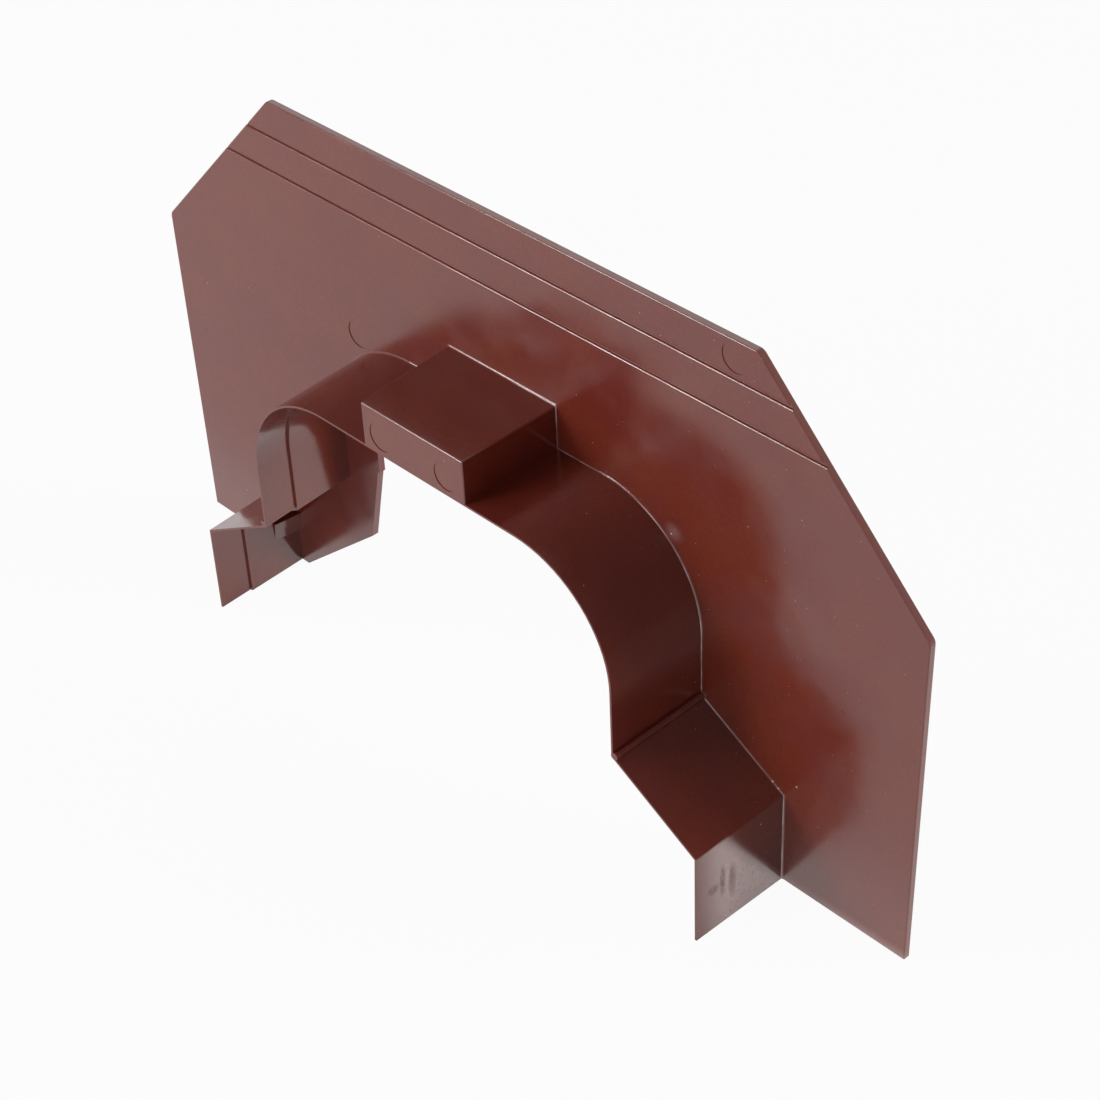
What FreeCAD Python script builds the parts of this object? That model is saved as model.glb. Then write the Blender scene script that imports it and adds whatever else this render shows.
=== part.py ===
import FreeCAD
import Part
import Sketcher
import math
import os

# Ridge end plate: one moulded plastic piece, an upright plate with an arched flange and a crown box.
# Millimetres. X runs along the plate, Z is up, the flange stands out toward -Y.
# The origin is the middle of the bounding box in X and Y, at the floor in Z.

SIZES = {
    # plate
    "plate_width": "300",
    "plate_foot_width": "298",
    "plate_top_width": "186.5",
    "plate_height": "171.5",
    "plate_side_height": "112.4",
    "plate_thickness": "2.3",
    "plate_corner_radius": "2.8",
    "plate_edge_radius": "0.35",
    # trim grooves across the front of the plate
    "groove_upper_drop": "11.2",
    "groove_lower_drop": "22.9",
    "groove_width": "1",
    "groove_depth": "0.6",
    "groove_upper_lip_radius": "0.25",
    "groove_lower_lip_radius": "0.5",
    # flange, outside sizes where it meets the plate
    "flange_depth": "33.6",
    "foot_span": "210.4",
    "foot_height": "32.3",
    "wall_span": "149.6",
    "wall_base_height": "50.3",
    "crown_height": "107.3",
    "arch_radius": "35.9",
    "draft_inset": "1.15",
    "flange_wall": "1.5",
    "rim_wall": "0.65",
    "rim_depth": "11.8",
    "rim_slope": "0.2",
    "root_bead_diameter": "2.4",
    "root_bead_out": "0.45",
    "root_bead_up": "0.25",
    "foot_corner_radius": "0.6",
    "plate_joint_radius": "0.6",
    # box on the crown
    "box_width": "42.9",
    "box_top_height": "121.3",
    "box_wall": "1.6",
    "box_sink": "0.4",
    "box_edge_radius": "0.4",
    # lip of the plate inside the flange
    "lip_foot_span": "200.8",
    "lip_knee_span": "130",
    "lip_knee_height": "30.3",
    "lip_notch_span": "118",
    "lip_notch_height": "58.2",
    "lip_notch_step": "0.7",
    "lip_top_height": "91.5",
    "lip_arch_radius": "22",
    # catch on the inside of each foot
    "catch_top_height": "20.2",
    "catch_bottom_height": "11.9",
    "catch_reach": "2.4",
    "catch_front_reach": "1.2",
    "catch_depth": "9.9",
    "catch_root": "0.6",
    # round marks left by the ejector pins
    "pin_diameter": "9",
    "pin_mark_depth": "0.2",
    "top_pin_offset": "85.9",
    "top_pin_height": "166.4",
    "crown_pin_offset": "61.5",
    "crown_pin_height": "107",
    "box_pin_spacing": "26",
    "box_pin_height": "111.7",
}

# Share of the wall thickness by which the shoulder's inside corners sit lower than its outside ones.
SHOULDER_DROP = 0.57

# Two points or lines count as the same within this many millimetres.
CLOSE = 0.01

# An edge belongs to the line where the flange stands on the plate within this many millimetres.
NEAR_LINE = 0.3


class Size:
    """A number together with the sheet expression that gives it."""

    def __init__(self, number, text):
        self.number = number
        self.text = text

    def __add__(self, other):
        return Size(self.number + other.number, "(" + self.text + " + " + other.text + ")")

    def __sub__(self, other):
        return Size(self.number - other.number, "(" + self.text + " - " + other.text + ")")

    def __neg__(self):
        return Size(-self.number, "(0 - " + self.text + ")")

    def times(self, factor):
        return Size(self.number * factor, "(" + self.text + " * " + str(factor) + ")")


doc = FreeCAD.newDocument("ridge_end_plate")
sheet = doc.addObject("Spreadsheet::Sheet", "sizes")
for row, (alias, text) in enumerate(SIZES.items(), start=1):
    sheet.set("A" + str(row), alias)
    sheet.set("B" + str(row), text)
    sheet.setAlias("B" + str(row), alias)
doc.recompute()


def size(alias):
    return Size(float(SIZES[alias]), "sizes." + alias)


ZERO = Size(0.0, "0")

# how far a cut reaches past the face that it starts from
OVERCUT = Size(1.0, "1")

body = doc.addObject("PartDesign::Body", "ridge_end_plate_body")


def origin_plane(role):
    for feature in body.Origin.OriginFeatures:
        if feature.Role == role:
            return feature
    raise RuntimeError("no origin plane " + role)


def upright_sketch(name, y):
    """A sketch parallel to the plate at depth y: its x is X, its y is Z, its normal is -Y."""
    sketch = body.newObject("Sketcher::SketchObject", name)
    sketch.AttachmentSupport = [(origin_plane("XZ_Plane"), "")]
    sketch.MapMode = "FlatFace"
    sketch.setExpression("AttachmentOffset.Base.z", "0 - " + y.text)
    return sketch


def side_sketch(name):
    """A sketch across the plate, at its middle: its x is Y, its y is Z, its normal is X."""
    sketch = body.newObject("Sketcher::SketchObject", name)
    sketch.AttachmentSupport = [(origin_plane("YZ_Plane"), "")]
    sketch.MapMode = "FlatFace"
    return sketch


def toward(here, other, radius):
    """The point at one radius from a corner, on the upright or level line to the next corner."""
    step_x = other[0].number - here[0].number
    step_z = other[1].number - here[1].number
    if abs(step_x) > abs(step_z):
        return (here[0] + radius if step_x > 0 else here[0] - radius, here[1])
    return (here[0], here[1] + radius if step_z > 0 else here[1] - radius)


def draw_outline(sketch, corners):
    """Draws a closed outline with every point held to the sheet. A corner is (x, z) or
    (x, z, radius); a rounded corner joins an upright line and a level one."""
    points = []
    arcs = {}
    for index, corner in enumerate(corners):
        if len(corner) == 2:
            points.append(corner)
            continue
        arcs[len(points)] = corner
        points.append(toward(corner, corners[index - 1], corner[2]))
        points.append(toward(corner, corners[(index + 1) % len(corners)], corner[2]))
    spots = [FreeCAD.Vector(x.number, z.number, 0) for x, z in points]
    # an arc runs counter-clockwise, so where the outline turns the other way its ends swap
    pieces = []
    ends = []
    for index, spot in enumerate(spots):
        after = spots[(index + 1) % len(spots)]
        if index not in arcs:
            pieces.append(Part.LineSegment(spot, after))
            ends.append((1, 2))
            continue
        x, z, radius = arcs[index]
        centre = spot + after - FreeCAD.Vector(x.number, z.number, 0)
        forward = (spot - centre).cross(after - centre).z > 0
        begin = spot - centre if forward else after - centre
        angle = math.atan2(begin.y, begin.x)
        circle = Part.Circle(centre, FreeCAD.Vector(0, 0, 1), radius.number)
        pieces.append(Part.ArcOfCircle(circle, angle, angle + math.pi / 2))
        ends.append((1, 2) if forward else (2, 1))
    first = len(sketch.Geometry)
    sketch.addGeometry(pieces, False)
    rules = []
    texts = []
    for index, (x, z) in enumerate(points):
        piece = first + index
        before = first + (index - 1) % len(points)
        before_end = ends[index - 1][1]
        start = ends[index][0]
        rules.append(Sketcher.Constraint("Coincident", before, before_end, piece, start))
        texts.append(None)
        rules.append(Sketcher.Constraint("DistanceX", -1, 1, piece, start, x.number))
        texts.append(x.text)
        if z is ZERO:
            rules.append(Sketcher.Constraint("PointOnObject", piece, start, -1))
            texts.append(None)
        else:
            rules.append(Sketcher.Constraint("DistanceY", -1, 1, piece, start, z.number))
            texts.append(z.text)
        if index in arcs:
            # both ends are held, so one coordinate of the centre settles the arc
            level = points[index + 1] if x is arcs[index][0] else points[index]
            rules.append(Sketcher.Constraint("DistanceX", -1, 1, piece, 3, level[0].number))
            texts.append(level[0].text)
    first_rule = len(sketch.Constraints)
    sketch.addConstraint(rules)
    for index, text in enumerate(texts):
        if text is not None:
            sketch.setExpression("Constraints[" + str(first_rule + index) + "]", text)


def draw_disc(sketch, x, z, diameter):
    """Draws a circle with its middle and diameter held to the sheet."""
    middle = FreeCAD.Vector(x.number, z.number, 0)
    circle = Part.Circle(middle, FreeCAD.Vector(0, 0, 1), diameter.number / 2)
    index = sketch.addGeometry(circle, False)
    first_rule = len(sketch.Constraints)
    sketch.addConstraint([
        Sketcher.Constraint("DistanceX", -1, 1, index, 3, x.number),
        Sketcher.Constraint("DistanceY", -1, 1, index, 3, z.number),
        Sketcher.Constraint("Diameter", index, diameter.number),
    ])
    for step, held in enumerate((x, z, diameter)):
        sketch.setExpression("Constraints[" + str(first_rule + step) + "]", held.text)


def left_half(half):
    """The mirror image of a half outline at +X, in the order that carries the outline on."""
    return [(-corner[0],) + tuple(corner[1:]) for corner in reversed(half)]


def add_pad(name, sketch, length):
    pad = body.newObject("PartDesign::Pad", name)
    pad.Profile = sketch
    pad.setExpression("Length", length.text)
    doc.recompute()


def add_loft(name, first, second):
    loft = body.newObject("PartDesign::AdditiveLoft", name)
    loft.Profile = first
    loft.Sections = [second]
    loft.Ruled = True
    doc.recompute()


def add_pocket(name, sketch, length, toward_front=False, both_ways=False):
    pocket = body.newObject("PartDesign::Pocket", name)
    pocket.Profile = sketch
    pocket.setExpression("Length", length.text)
    pocket.Reversed = toward_front
    pocket.Midplane = both_ways
    doc.recompute()


def round_edges(name, wanted, radius):
    """Rounds the edges of the body so far that pass the test."""
    base = body.Tip
    names = []
    for number, edge in enumerate(base.Shape.Edges, start=1):
        if wanted(edge):
            names.append("Edge" + str(number))
    if not names:
        raise RuntimeError("no edges found for " + name)
    fillet = body.newObject("PartDesign::Fillet", name)
    fillet.Base = (base, names)
    fillet.setExpression("Radius", radius.text)
    doc.recompute()


def middle_of(edge):
    return edge.valueAt((edge.FirstParameter + edge.LastParameter) / 2)


# depths along Y
half_depth = (size("flange_depth") + size("plate_thickness")).times(0.5)
plate_back = half_depth
plate_front = half_depth - size("plate_thickness")
slope_back = size("rim_depth") + size("rim_slope") - half_depth
rim_back = size("rim_depth") - half_depth
flange_front = -half_depth

# plate with its opening, in one outline
plate_half = [
    (size("lip_foot_span").times(0.5), ZERO),
    (size("plate_foot_width").times(0.5), ZERO),
    (size("plate_width").times(0.5), size("plate_side_height")),
    (size("plate_top_width").times(0.5), size("plate_height")),
]
lip_upper = size("lip_notch_span").times(0.5) - size("lip_notch_step")
opening_half = [
    (lip_upper, size("lip_top_height"), size("lip_arch_radius")),
    (lip_upper, size("lip_notch_height")),
    (size("lip_notch_span").times(0.5), size("lip_notch_height")),
    (size("lip_knee_span").times(0.5), size("lip_knee_height")),
]
plate_sketch = upright_sketch("plate_outline", plate_back)
draw_outline(
    plate_sketch,
    plate_half + left_half(plate_half) + left_half(opening_half) + opening_half,
)
add_pad("plate", plate_sketch, size("plate_thickness"))


def on_opening(point):
    in_span = abs(point.x) < size("lip_foot_span").number / 2 + CLOSE
    return in_span and point.z < size("lip_top_height").number + CLOSE


def is_plate_corner(edge):
    """True for an edge that crosses the plate's thickness at an outer corner above the foot."""
    first, second = [vertex.Point for vertex in edge.Vertexes]
    across = abs(first.x - second.x) < CLOSE and abs(first.z - second.z) < CLOSE
    return across and first.z > CLOSE and not on_opening(first)


def is_plate_rim(edge):
    """True for an edge around the outside of the plate, apart from the foot."""
    first, second = [vertex.Point for vertex in edge.Vertexes]
    along = abs(first.y - second.y) < CLOSE
    middle = middle_of(edge)
    return along and middle.z > CLOSE and not on_opening(middle)


round_edges("plate_corners", is_plate_corner, size("plate_corner_radius"))
round_edges("plate_edges", is_plate_rim, size("plate_edge_radius"))


def flange_outside(inset):
    """The right half of the flange's outside, from the foot up to the crown."""
    foot = size("foot_span").times(0.5) - inset
    side = size("wall_span").times(0.5) - inset
    return [
        (foot, ZERO),
        (foot, size("foot_height") - inset),
        (side, size("wall_base_height") - inset),
        (side, size("crown_height") - inset, size("arch_radius") - inset),
    ]


def flange_section(name, y, inset, wall):
    """The flange cut across at depth y: an open arch on two feet, as thick as the wall."""
    drop = wall.times(SHOULDER_DROP)
    outside = flange_outside(inset)
    (foot, floor), (_, shoulder_low), (side, shoulder_high), (_, crown, radius) = outside
    inside = [
        (side - wall, crown - wall, radius - wall),
        (side - wall, shoulder_high - drop),
        (foot - wall, shoulder_low - drop),
        (foot - wall, floor),
    ]
    sketch = upright_sketch(name, y)
    draw_outline(sketch, outside + left_half(outside) + left_half(inside) + inside)
    return sketch


def draft_behind_front(depth):
    """How far the draft has moved the flange's outside in, at a depth back from its front."""
    share = 1.0 - depth.number / size("flange_depth").number
    return Size(
        size("draft_inset").number * share,
        "(sizes.draft_inset * (1 - " + depth.text + " / sizes.flange_depth))",
    )


# full wall next to the plate, a short slope on the inside, then the thin rim
wall = size("flange_wall")
slope_inset = draft_behind_front(size("rim_depth") + size("rim_slope"))
rim_inset = draft_behind_front(size("rim_depth"))
full_inset = size("draft_inset")
root_section = flange_section("flange_root", plate_front, ZERO, wall)
add_loft("flange", root_section, flange_section("flange_end", slope_back, slope_inset, wall))
add_loft(
    "rim_step",
    flange_section("slope_start", slope_back, slope_inset, wall),
    flange_section("slope_end", rim_back, rim_inset, size("rim_wall")),
)
add_loft(
    "rim",
    flange_section("rim_start", rim_back, rim_inset, size("rim_wall")),
    flange_section("rim_end", flange_front, full_inset, size("rim_wall")),
)


def box_section(name, y, inset):
    half = size("box_width").times(0.5) - inset
    top = size("box_top_height") - inset
    floor = size("crown_height") - inset - size("box_sink")
    sketch = upright_sketch(name, y)
    draw_outline(sketch, [(-half, floor), (half, floor), (half, top), (-half, top)])
    return sketch


box_back = box_section("box_back", plate_front, ZERO)
box_front = box_section("box_front", flange_front, full_inset)
add_loft("crown_box", box_back, box_front)

# hollow of the box, open at the back of the plate
hollow_half = size("box_width").times(0.5) - full_inset - size("box_wall")
hollow_top = size("box_top_height") - full_inset - size("box_wall")
hollow_floor = size("crown_height")
hollow_sketch = upright_sketch("box_hollow_outline", plate_back)
hollow_right = [(hollow_half, hollow_floor), (hollow_half, hollow_top)]
draw_outline(hollow_sketch, hollow_right + left_half(hollow_right))
hollow_length = size("plate_thickness") + size("flange_depth") - size("box_wall")
add_pocket("box_hollow", hollow_sketch, hollow_length, toward_front=True)


def catch_section(name, y, reach, is_left):
    """A catch cut across at depth y: a wedge that stands out of the foot's inside."""
    face = size("foot_span").times(0.5) - size("flange_wall")
    root = face + size("catch_root")
    wedge = [
        (root, size("catch_bottom_height")),
        (root, size("catch_top_height")),
        (face - reach, size("catch_top_height")),
        (face, size("catch_bottom_height")),
    ]
    sketch = upright_sketch(name, y)
    draw_outline(sketch, left_half(wedge) if is_left else wedge)
    return sketch


# catches inside the feet, next to the plate
catch_front = plate_front - size("catch_depth")
for side, is_left in (("right", False), ("left", True)):
    add_loft(
        "catch_" + side,
        catch_section("catch_back_" + side, plate_front, size("catch_reach"), is_left),
        catch_section("catch_front_" + side, catch_front, size("catch_front_reach"), is_left),
    )

# trim grooves, square inside with rounded lips
groove_sketch = side_sketch("groove_outline")
groove_half = size("groove_width").times(0.5)
groove_floor = plate_front + size("groove_depth")
groove_ahead = plate_front - OVERCUT
for drop in (size("groove_upper_drop"), size("groove_lower_drop")):
    middle = size("plate_height") - drop
    low = middle - groove_half
    high = middle + groove_half
    low_lip = size("groove_lower_lip_radius")
    high_lip = size("groove_upper_lip_radius")
    draw_outline(
        groove_sketch,
        [
            (groove_ahead, low - low_lip - low_lip),
            (plate_front, low - low_lip - low_lip),
            (plate_front, low, low_lip),
            (groove_floor, low),
            (groove_floor, high),
            (plate_front, high, high_lip),
            (plate_front, high + high_lip + high_lip),
            (groove_ahead, high + high_lip + high_lip),
        ],
    )
add_pocket("trim_grooves", groove_sketch, size("plate_width") + OVERCUT, both_ways=True)

# ejector pin marks on the plate's front and on the front of the box
pin = size("pin_diameter")
plate_pins = upright_sketch("plate_pin_marks_outline", plate_front)
draw_disc(plate_pins, size("top_pin_offset"), size("top_pin_height"), pin)
draw_disc(plate_pins, -size("crown_pin_offset"), size("crown_pin_height"), pin)
add_pocket("plate_pin_marks", plate_pins, size("pin_mark_depth"))
box_pins = upright_sketch("box_pin_marks_outline", flange_front)
box_pin_offset = size("box_pin_spacing").times(0.5)
draw_disc(box_pins, box_pin_offset, size("box_pin_height"), pin)
draw_disc(box_pins, -box_pin_offset, size("box_pin_height"), pin)
add_pocket("box_pin_marks", box_pins, size("pin_mark_depth"))


def inset_at(y):
    """The same draft at a depth along Y, as a number."""
    run = plate_front.number - y
    return size("draft_inset").number * run / size("flange_depth").number


def follows_corner(edge, span, height):
    """True for an edge that runs along a corner of the flange's outside."""
    if len(edge.Vertexes) != 2:
        return False
    first, second = [vertex.Point for vertex in edge.Vertexes]
    if abs(first.y - second.y) < CLOSE:
        return False
    for point in (first, second):
        inset = inset_at(point.y)
        if abs(abs(point.x) - (span.number / 2 - inset)) > CLOSE:
            return False
        if abs(point.z - (height.number - inset)) > CLOSE:
            return False
    return True


def is_foot_corner(edge):
    return follows_corner(edge, size("foot_span"), size("foot_height"))


def is_box_edge(edge):
    """True for the box's two long top edges and the three edges of its front that stand free."""
    if follows_corner(edge, size("box_width"), size("box_top_height")):
        return True
    if len(edge.Vertexes) != 2:
        return False
    for point in [vertex.Point for vertex in edge.Vertexes]:
        if abs(point.y - flange_front.number) > CLOSE:
            return False
        if abs(point.x) > size("box_width").number / 2:
            return False
    middle = middle_of(edge)
    at_side = abs(abs(middle.x) - (size("box_width").number / 2 - full_inset.number)) < CLOSE
    at_top = abs(middle.z - (size("box_top_height").number - full_inset.number)) < CLOSE
    return at_side or at_top


round_edges("foot_corners", is_foot_corner, size("foot_corner_radius"))
round_edges("box_edges", is_box_edge, size("box_edge_radius"))


# where the outside and the inside of the flange stand on the plate's front; the outline of
# the flange's root starts with its outside edges, and a rounded corner counts as two points
outside_points = sum(len(corner) - 1 for corner in flange_outside(ZERO) + flange_outside(ZERO))
root_edges = root_section.Shape.Wires[0].OrderedEdges
outside_line = Part.Compound(root_edges[:outside_points - 1] + box_back.Shape.Edges)
inside_line = Part.Compound(root_edges[outside_points:])


def is_plate_joint(edge):
    """True for an edge where the outside of the flange or of its box meets the plate's front."""
    middle = middle_of(edge)
    for point in [vertex.Point for vertex in edge.Vertexes] + [middle]:
        if abs(point.y - plate_front.number) > CLOSE:
            return False
    spot = Part.Vertex(middle)
    if spot.distToShape(inside_line)[0] < NEAR_LINE:
        return False
    return spot.distToShape(outside_line)[0] < NEAR_LINE


round_edges("plate_joint", is_plate_joint, size("plate_joint_radius"))


def bead_section(name, y, inset, is_left):
    """A bead cut across at depth y: a disc in the corner between the wall and the shoulder."""
    x = size("wall_span").times(0.5) - inset + size("root_bead_out")
    z = size("wall_base_height") - inset + size("root_bead_up")
    sketch = upright_sketch(name, y)
    draw_disc(sketch, -x if is_left else x, z, size("root_bead_diameter"))
    return sketch


# bead along the root of each shoulder
for side, is_left in (("right", False), ("left", True)):
    add_loft(
        "root_bead_" + side,
        bead_section("bead_back_" + side, plate_front, ZERO, is_left),
        bead_section("bead_front_" + side, flange_front, full_inset, is_left),
    )

doc.recompute()
for item in doc.Objects:
    if "Invalid" in item.State or "Error" in item.State:
        raise RuntimeError("object failed: " + item.Name + " " + str(item.State))
    shape = getattr(item, "Shape", None)
    if shape is None:
        continue
    if shape.isNull() or not shape.isValid():
        raise RuntimeError("bad shape: " + item.Name)
if len(body.Shape.Solids) != 1:
    raise RuntimeError("the part is not one solid: " + str(len(body.Shape.Solids)))

os.makedirs("parts", exist_ok=True)
body.Shape.exportStep("parts/ridge_end_plate.step")
print("ridge_end_plate volume", round(body.Shape.Volume, 1), "cubic mm")
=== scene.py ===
import math

import bpy
from mathutils import Matrix, Vector

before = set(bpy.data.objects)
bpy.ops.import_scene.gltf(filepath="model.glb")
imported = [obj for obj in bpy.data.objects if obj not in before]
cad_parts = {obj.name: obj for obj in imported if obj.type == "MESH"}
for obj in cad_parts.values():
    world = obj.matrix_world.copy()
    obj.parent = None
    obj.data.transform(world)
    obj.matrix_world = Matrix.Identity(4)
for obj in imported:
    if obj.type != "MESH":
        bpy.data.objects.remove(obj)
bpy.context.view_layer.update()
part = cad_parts["ridge_end_plate"]
scene = bpy.context.scene
scene.view_settings.view_transform = "Standard"

# All lengths are in metres, all angles in degrees, and all colours are linear.

# Camera, fitted to the corners of the object in the photograph
AIM = Vector((0.0148, 0.01693, 0.0674))
AZIMUTH = 47.45
ELEVATION = 38.55
ROLL = -2.81
DISTANCE = 0.7077
LENS_MM = 81.63
SENSOR_MM = 36.0
CLIP_NEAR = 0.01
CLIP_FAR = 50

# Plastic: a red-brown that drifts between a cool and a warm tone, with a fine darker grain
COOL_COLOUR = (0.178, 0.027, 0.018)
WARM_COLOUR = (0.2, 0.031, 0.0125)
TONE_PATCH = 0.022
TONE_DETAIL = 3.0
GRAIN_COLOUR = (0.152, 0.022, 0.0145)
GRAIN_SIZE = 0.0009
GRAIN_SHARE = 0.5
PLASTIC_IOR = 1.75

# Gloss: patchy, and the plate's face is duller than the flange in front of it.
# One goes over into the other within a short depth at the joint.
ROUGHNESS_LEAST = 0.17
ROUGHNESS_MOST = 0.26
ROUGHNESS_PATCH = 0.012
ROUGHNESS_DETAIL = 4.0
FLANGE_ROUGHNESS_SHARE = 0.65
PLATE_FRONT = 0.01565
JOINT_DEPTH = 0.001

# Unevenness of the moulded faces: long swells, a fine skin and small blemishes
SWELL_LENGTH = 0.03
SWELL_HEIGHT = 0.00022
SKIN_LENGTH = 0.0007
SKIN_HEIGHT = 0.000008
BLEMISH_SPACING = 0.014
BLEMISH_RADIUS = 0.0007
BLEMISH_HEIGHT = 0.00003

# Dust: pale specks strewn all over, finer ones close to the plate on the right, and single larger ones.
# The last single one is no dust but the bright core of the painted glint.
# The finer ones set in from left to right and from front to back, between the limits given.
DUST_AND_GLINT_COLOUR = (0.62, 0.55, 0.52)
DUST_AND_GLINT_ROUGHNESS = 0.7
DUST_SPACING = 0.0075
DUST_RADIUS = 0.00018
FINE_DUST_SPACING = 0.0032
FINE_DUST_RADIUS = 0.00012
FINE_DUST_LEFT = 0.02
FINE_DUST_RIGHT = 0.04
FINE_DUST_FRONT = 0.004
FINE_DUST_BACK = 0.008
SINGLE_DUST_AND_GLINT_RADIUS = 0.0004
SINGLE_DUST_AND_GLINT_CORE = (
    (0.1047, 0.0092, 0.0148),
    (0.1047, 0.0067, 0.0273),
    (0.1011, 0.0155, 0.0348),
    (0.1032, 0.0155, 0.0335),
    (0.1095, 0.0157, 0.0381),
    # Painted glint core, not dust
    (0.0638, 0.0157, 0.1003),
)

# Painted reflection on the right foot: a pale colour that stands in for the mirrored white floor,
# below a slanting limit that falls to the floor at the plate.
# Its metallic part makes it mirror the floor more strongly.
PAINTED_LIGHT_COLOUR = (0.78, 0.63, 0.61)
FOOT_REFLECTION_SHARE = 0.66
PAINTED_LIGHT_ROUGHNESS = 0.3
PAINTED_LIGHT_METALLIC = 0.25
FOOT_REFLECTION_INSIDE = 0.104
FOOT_REFLECTION_INSIDE_SOFTNESS = 0.0005
FOOT_REFLECTION_LIMIT_RISE = 1.34
FOOT_REFLECTION_LIMIT_SOFTNESS = 0.004
FOOT_REFLECTION_MOTTLE_SIZE = 0.0022
FOOT_REFLECTION_MOTTLE_LEAST = 0.9

# Smudges that break up the painted reflection on the right foot: middle and half sizes
SMUDGES = (
    ((0.1046, -0.0042, 0.0140), (0.001, 0.0018, 0.008)),
    ((0.1046, -0.0080, 0.0165), (0.001, 0.0014, 0.008)),
    ((0.1046, -0.0118, 0.0152), (0.001, 0.0032, 0.0026)),
)
SMUDGE_LEAST = 0.6
SMUDGE_RAGGEDNESS = 0.0016

# Painted glint: a soft pale spot on the plate close to the right shoulder of the arch, round the painted
# glint core among the single specks
PAINTED_GLINT_MIDDLE = (0.0646, 0.0156, 0.1012)
PAINTED_GLINT_HALF_SIZE = (0.0042, 0.001, 0.004)
PAINTED_GLINT_CORE = 0.0
PAINTED_GLINT_SHARE = 0.15

# Painted highlight along the joint between the flange and the plate: a thin broken pale line, fading in
# right of the middle
JOINT_HIGHLIGHT_FADE = 0.01
JOINT_HIGHLIGHT_FRONT = 0.0153
JOINT_HIGHLIGHT_BACK = 0.0154
JOINT_HIGHLIGHT_SOFTNESS = 0.00012
JOINT_HIGHLIGHT_PATCH = 0.012
JOINT_HIGHLIGHT_LEAST = 0.0
JOINT_HIGHLIGHT_MOST = 0.8

# Soft noise: its usual detail, and the range in which most of its values lie
NOISE_DETAIL = 2.0
NOISE_LOW = 0.35
NOISE_HIGH = 0.65

# A round spot is whole up to this share of its radius and fades out from there
SPOT_CORE = 0.4

# Floor and background: the share of plain white in what a ray sees.
# The rest is lit paper on the floor, and the world's own faint light beyond it.
# In the gloss the floor is darker in front, where the object shades it, and far away.
WHITE = (1, 1, 1)
WHITE_STRENGTH = 1.0
FLOOR_SIZE = 8
FLOOR_COLOUR = (0.88, 0.88, 0.88)
CAMERA_WHITE = 0.95
GLOSS_WHITE_BEHIND = 1.0
GLOSS_WHITE_IN_FRONT = 0.58
GLOSS_WHITE_FAR = 0.35
GLOSS_WHITE_WORLD = 0.6
SHADED_FROM = 0.012
SHADED_TO = -0.022
NEAR_FLOOR = 0.45
FAR_FLOOR = 0.8
WORLD_STRENGTH = 0.02

# Soft lamps, all aimed at the middle of the object from one distance:
# name, azimuth, elevation, width, height, watts,
# whether it lights the matt colour, whether it shows in the gloss
LAMP_AIM = Vector((0, 0, 0.07))
LAMP_DISTANCE = 1.5
LAMPS = (
    ("glint_left", -36, 16, 0.3, 0.7, 10.5, False, True),
    ("key_low", -36, 16, 0.7, 0.7, 5.2, True, False),
    ("key_high", -45, 45, 0.9, 0.9, 5.6, True, False),
    ("fill_front", -24, 25, 0.4, 0.2, 3.5, True, True),
    ("fill_right", 10, 10, 0.9, 0.9, 5.2, True, False),
    ("back_right", 135, 38, 0.9, 0.9, 4.0, True, False),
    ("side_right", 120, 12, 0.7, 0.7, 10.0, True, False),
    ("back_left", -135, 38, 0.9, 0.9, 2.0, True, True),
)


def direction(azimuth, elevation):
    """Unit vector from the object toward an azimuth, 0 in front and 90 at its right, and an elevation."""
    turn = math.radians(azimuth)
    rise = math.radians(elevation)
    return Vector((
        math.sin(turn) * math.cos(rise),
        -math.cos(turn) * math.cos(rise),
        math.sin(rise),
    ))


def add_camera():
    back = direction(AZIMUTH, ELEVATION)
    right = Vector((0, 0, 1)).cross(back).normalized()
    up = back.cross(right)
    roll = Matrix.Rotation(math.radians(ROLL), 3, back)
    axes = Matrix((roll @ right, roll @ up, back)).transposed()
    data = bpy.data.cameras.new("photo_camera")
    data.sensor_fit = "HORIZONTAL"
    data.sensor_width = SENSOR_MM
    data.lens = LENS_MM
    data.clip_start = CLIP_NEAR
    data.clip_end = CLIP_FAR
    camera = bpy.data.objects.new("photo_camera", data)
    camera.matrix_world = Matrix.Translation(AIM + back * DISTANCE) @ axes.to_4x4()
    scene.collection.objects.link(camera)
    scene.camera = camera


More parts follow.
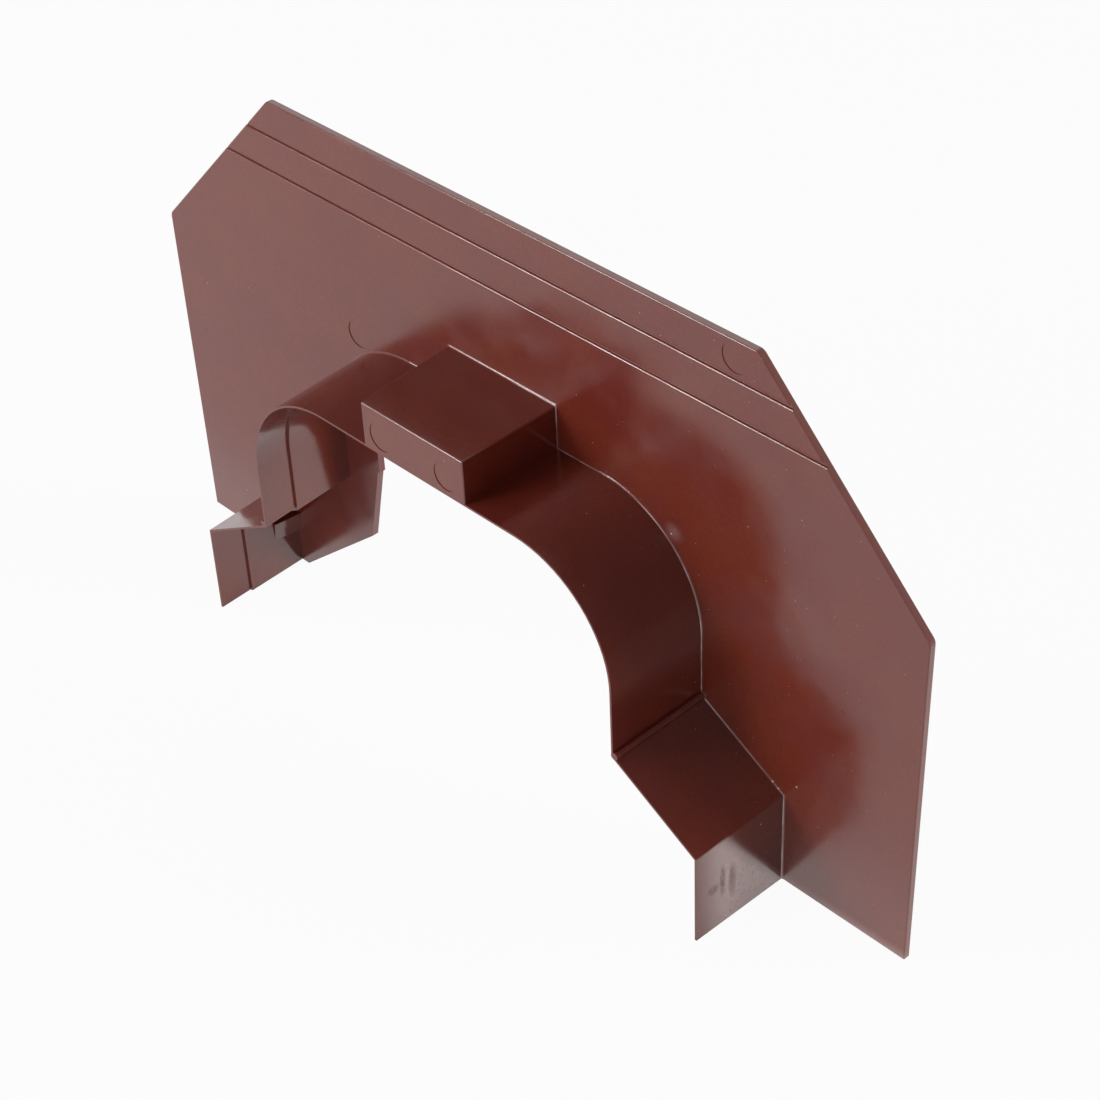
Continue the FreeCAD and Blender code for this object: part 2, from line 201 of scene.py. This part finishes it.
class Graph:
    """Builds the nodes of a material or a world, which is emptied first."""

    def __init__(self, owner):
        owner.use_nodes = True
        self.nodes = owner.node_tree.nodes
        self.links = owner.node_tree.links
        self.nodes.clear()

    def plug(self, socket, value):
        """Links a socket to another one, or sets the number, vector or colour on it."""
        if isinstance(value, bpy.types.NodeSocket):
            self.links.new(value, socket)
        elif isinstance(value, tuple) and len(value) < len(socket.default_value):
            socket.default_value = (*value, 1)
        else:
            socket.default_value = value

    def add(self, kind, **inputs):
        """A node with its inputs plugged; an input is named with _ for a space."""
        node = self.nodes.new(kind)
        for name, value in inputs.items():
            self.plug(node.inputs[name.replace("_", " ")], value)
        return node

    def math(self, operation, first, second):
        node = self.add("ShaderNodeMath")
        node.operation = operation
        self.plug(node.inputs[0], first)
        self.plug(node.inputs[1], second)
        return node.outputs["Value"]

    def product(self, first, *others):
        for other in others:
            first = self.math("MULTIPLY", first, other)
        return first

    def vector_math(self, operation, *vectors):
        """The outputs of an operation on one or two vectors."""
        node = self.add("ShaderNodeVectorMath")
        node.operation = operation
        for socket, vector in zip(node.inputs, vectors):
            self.plug(socket, vector)
        return node.outputs

    def length(self, vector):
        return self.vector_math("LENGTH", vector)["Value"]

    def spread(self, value, low, high, least=0.0, most=1.0):
        """Turns the range low to high, in either order, into least to most, softly and never beyond."""
        node = self.add(
            "ShaderNodeMapRange", Value=value, From_Min=low, From_Max=high, To_Min=least, To_Max=most
        )
        node.interpolation_type = "SMOOTHSTEP"
        return node.outputs["Result"]

    def blend(self, share, first, second):
        """The first colour at share 0, the second at share 1."""
        node = self.nodes.new("ShaderNodeMix")
        node.data_type = "RGBA"
        self.plug(node.inputs["Factor"], share)
        self.plug(node.inputs["A"], first)
        self.plug(node.inputs["B"], second)
        return node.outputs["Result"]

    def blend_shaders(self, share, first, second):
        """The first shader at share 0, the second at share 1."""
        node = self.add("ShaderNodeMixShader", Fac=share)
        self.plug(node.inputs[1], first)
        self.plug(node.inputs[2], second)
        return node.outputs["Shader"]

    def noise(self, place, length, detail=NOISE_DETAIL):
        """Soft noise whose lumps are about as long as asked."""
        node = self.add("ShaderNodeTexNoise", Vector=place, Scale=1 / length, Detail=detail)
        return node.outputs["Fac"]

    def patches(self, place, length, least=0.0, most=1.0, detail=NOISE_DETAIL):
        """Soft patches about as long as asked, with values from least to most."""
        return self.spread(self.noise(place, length, detail), NOISE_LOW, NOISE_HIGH, least, most)

    def strewn_spots(self, place, spacing, radius):
        """1 in small spots strewn about a spacing apart in space, of which the surface cuts some."""
        node = self.add("ShaderNodeTexVoronoi", Vector=place, Scale=1 / spacing)
        return self.spread(node.outputs["Distance"], radius / spacing, SPOT_CORE * radius / spacing)

    def spot(self, place, middle, half_size, core=SPOT_CORE):
        """1 in the core of an ellipsoid, fading out toward its surface."""
        offset = self.vector_math("SUBTRACT", place, middle)["Vector"]
        scaled = self.vector_math("DIVIDE", offset, half_size)["Vector"]
        return self.spread(self.length(scaled), 1.0, core)

    def raised(self, height, metres, **normal):
        """The normal of a surface that rises by so many metres where the height is 1."""
        node = self.add("ShaderNodeBump", Height=height, Strength=1.0, Distance=metres, **normal)
        return node.outputs["Normal"]


def dust_and_glint_share(graph, place, x, y):
    """1 on the strewn and single specks and on the painted glint core, and 0 beside them."""
    dust_and_glint = graph.strewn_spots(place, DUST_SPACING, DUST_RADIUS)
    fine = graph.product(
        graph.strewn_spots(place, FINE_DUST_SPACING, FINE_DUST_RADIUS),
        graph.spread(x, FINE_DUST_LEFT, FINE_DUST_RIGHT),
        graph.spread(y, FINE_DUST_FRONT, FINE_DUST_BACK),
    )
    dust_and_glint = graph.math("MAXIMUM", dust_and_glint, fine)
    for middle in SINGLE_DUST_AND_GLINT_CORE:
        single = graph.spot(place, middle, (SINGLE_DUST_AND_GLINT_RADIUS,) * 3)
        dust_and_glint = graph.math("MAXIMUM", dust_and_glint, single)
    return dust_and_glint


def painted_light_share(graph, place, x, y, z):
    """Share of painted light: the floor reflection on the right foot, the glint, and the highlight along
    the joint.
    """
    # Painted reflection of the white floor on the right foot, below the slanting limit
    ahead = graph.math("SUBTRACT", PLATE_FRONT, y)
    below = graph.math("SUBTRACT", graph.product(ahead, FOOT_REFLECTION_LIMIT_RISE), z)
    painted_light = graph.product(
        graph.spread(x, FOOT_REFLECTION_INSIDE, FOOT_REFLECTION_INSIDE + FOOT_REFLECTION_INSIDE_SOFTNESS),
        graph.spread(below, -FOOT_REFLECTION_LIMIT_SOFTNESS, FOOT_REFLECTION_LIMIT_SOFTNESS),
        graph.patches(place, FOOT_REFLECTION_MOTTLE_SIZE, FOOT_REFLECTION_MOTTLE_LEAST),
        FOOT_REFLECTION_SHARE,
    )
    ragged = graph.patches(place, SMUDGE_RAGGEDNESS, SMUDGE_LEAST)
    for middle, half_size in SMUDGES:
        smudged = graph.product(graph.spot(place, middle, half_size), ragged)
        painted_light = graph.product(painted_light, graph.math("SUBTRACT", 1.0, smudged))
    # Painted glint: a soft pale spot on the plate by the right shoulder of the arch
    painted_glint = graph.spot(place, PAINTED_GLINT_MIDDLE, PAINTED_GLINT_HALF_SIZE, PAINTED_GLINT_CORE)
    painted_light = graph.math("MAXIMUM", painted_light, graph.product(painted_glint, PAINTED_GLINT_SHARE))
    # Painted highlight along the joint between the flange and the plate
    joint_highlight = graph.product(
        graph.spread(x, 0.0, JOINT_HIGHLIGHT_FADE),
        graph.spread(y, JOINT_HIGHLIGHT_FRONT - JOINT_HIGHLIGHT_SOFTNESS, JOINT_HIGHLIGHT_FRONT),
        graph.spread(y, JOINT_HIGHLIGHT_BACK + JOINT_HIGHLIGHT_SOFTNESS, JOINT_HIGHLIGHT_BACK),
        graph.patches(place, JOINT_HIGHLIGHT_PATCH, JOINT_HIGHLIGHT_LEAST, JOINT_HIGHLIGHT_MOST),
    )
    return graph.math("MAXIMUM", painted_light, joint_highlight)


def plastic_material():
    material = bpy.data.materials.new("brown_plastic")
    graph = Graph(material)
    place = graph.add("ShaderNodeTexCoord").outputs["Object"]
    axes = graph.add("ShaderNodeSeparateXYZ", Vector=place).outputs
    x, y, z = axes["X"], axes["Y"], axes["Z"]
    dust_and_glint = dust_and_glint_share(graph, place, x, y)
    painted_light = painted_light_share(graph, place, x, y, z)

    tone = graph.patches(place, TONE_PATCH, detail=TONE_DETAIL)
    colour = graph.blend(tone, COOL_COLOUR, WARM_COLOUR)
    grain = graph.patches(place, GRAIN_SIZE, most=GRAIN_SHARE)
    colour = graph.blend(grain, colour, GRAIN_COLOUR)
    # Painted light blended over the plastic: floor reflection on the right foot, glint and joint
    # highlight
    colour = graph.blend(painted_light, colour, PAINTED_LIGHT_COLOUR)
    # Dust specks, and the painted glint core among them
    colour = graph.blend(dust_and_glint, colour, DUST_AND_GLINT_COLOUR)

    patchy = graph.patches(place, ROUGHNESS_PATCH, ROUGHNESS_LEAST, ROUGHNESS_MOST, ROUGHNESS_DETAIL)
    by_place = graph.spread(y, PLATE_FRONT - JOINT_DEPTH, PLATE_FRONT, FLANGE_ROUGHNESS_SHARE)
    roughness = graph.product(patchy, by_place)
    roughness = graph.math("MAXIMUM", roughness, graph.product(painted_light, PAINTED_LIGHT_ROUGHNESS / FOOT_REFLECTION_SHARE))
    roughness = graph.math("MAXIMUM", roughness, graph.product(dust_and_glint, DUST_AND_GLINT_ROUGHNESS))

    normal = graph.raised(graph.noise(place, SWELL_LENGTH), SWELL_HEIGHT)
    normal = graph.raised(graph.noise(place, SKIN_LENGTH), SKIN_HEIGHT, Normal=normal)
    blemish = graph.strewn_spots(place, BLEMISH_SPACING, BLEMISH_RADIUS)
    normal = graph.raised(blemish, BLEMISH_HEIGHT, Normal=normal)

    shader = graph.add(
        "ShaderNodeBsdfPrincipled",
        Base_Color=colour,
        Metallic=graph.product(painted_light, PAINTED_LIGHT_METALLIC),
        Roughness=roughness,
        Normal=normal,
        IOR=PLASTIC_IOR,
    )
    graph.add("ShaderNodeOutputMaterial", Surface=shader.outputs["BSDF"])
    return material


def white_share(graph, gloss_white):
    """How white the background looks to the camera and in gloss or glass; 0 to rays that light things."""
    path = graph.add("ShaderNodeLightPath").outputs
    mirrored = graph.math("MAXIMUM", path["Is Glossy Ray"], path["Is Transmission Ray"])
    by_camera = graph.product(path["Is Camera Ray"], CAMERA_WHITE)
    return graph.math("MAXIMUM", graph.product(mirrored, gloss_white), by_camera)


def floor_material():
    material = bpy.data.materials.new("white_floor")
    graph = Graph(material)
    place = graph.add("ShaderNodeTexCoord").outputs["Object"]
    y = graph.add("ShaderNodeSeparateXYZ", Vector=place).outputs["Y"]
    near_white = graph.spread(y, SHADED_FROM, SHADED_TO, GLOSS_WHITE_BEHIND, GLOSS_WHITE_IN_FRONT)
    reach = graph.spread(graph.length(place), FAR_FLOOR, NEAR_FLOOR, GLOSS_WHITE_FAR)
    gloss_white = graph.math("MINIMUM", near_white, reach)
    paper = graph.add("ShaderNodeBsdfDiffuse", Color=FLOOR_COLOUR).outputs["BSDF"]
    white = graph.add("ShaderNodeEmission", Color=WHITE, Strength=WHITE_STRENGTH).outputs["Emission"]
    seen = graph.blend_shaders(white_share(graph, gloss_white), paper, white)
    graph.add("ShaderNodeOutputMaterial", Surface=seen)
    return material


def add_floor():
    bpy.ops.mesh.primitive_plane_add(size=FLOOR_SIZE, location=(0, 0, 0))
    floor = bpy.context.object
    floor.name = "floor"
    floor.data.materials.append(floor_material())


def add_world():
    world = bpy.data.worlds.new("studio")
    scene.world = world
    graph = Graph(world)
    light = graph.add("ShaderNodeBackground", Color=WHITE, Strength=WORLD_STRENGTH)
    white = graph.add("ShaderNodeBackground", Color=WHITE, Strength=WHITE_STRENGTH)
    share = white_share(graph, GLOSS_WHITE_WORLD)
    seen = graph.blend_shaders(share, light.outputs["Background"], white.outputs["Background"])
    graph.add("ShaderNodeOutputWorld", Surface=seen)


def add_lamp(name, azimuth, elevation, width, height, watts, on_matt, in_gloss):
    data = bpy.data.lights.new(name, "AREA")
    data.shape = "RECTANGLE"
    data.size = width
    data.size_y = height
    data.energy = watts
    lamp = bpy.data.objects.new(name, data)
    toward = direction(azimuth, elevation)
    lamp.location = LAMP_AIM + toward * LAMP_DISTANCE
    lamp.rotation_euler = (-toward).to_track_quat("-Z", "Y").to_euler()
    lamp.visible_diffuse = on_matt
    lamp.visible_glossy = in_gloss
    scene.collection.objects.link(lamp)


part.data.materials.clear()
part.data.materials.append(plastic_material())
add_camera()
add_floor()
add_world()
for lamp in LAMPS:
    add_lamp(*lamp)
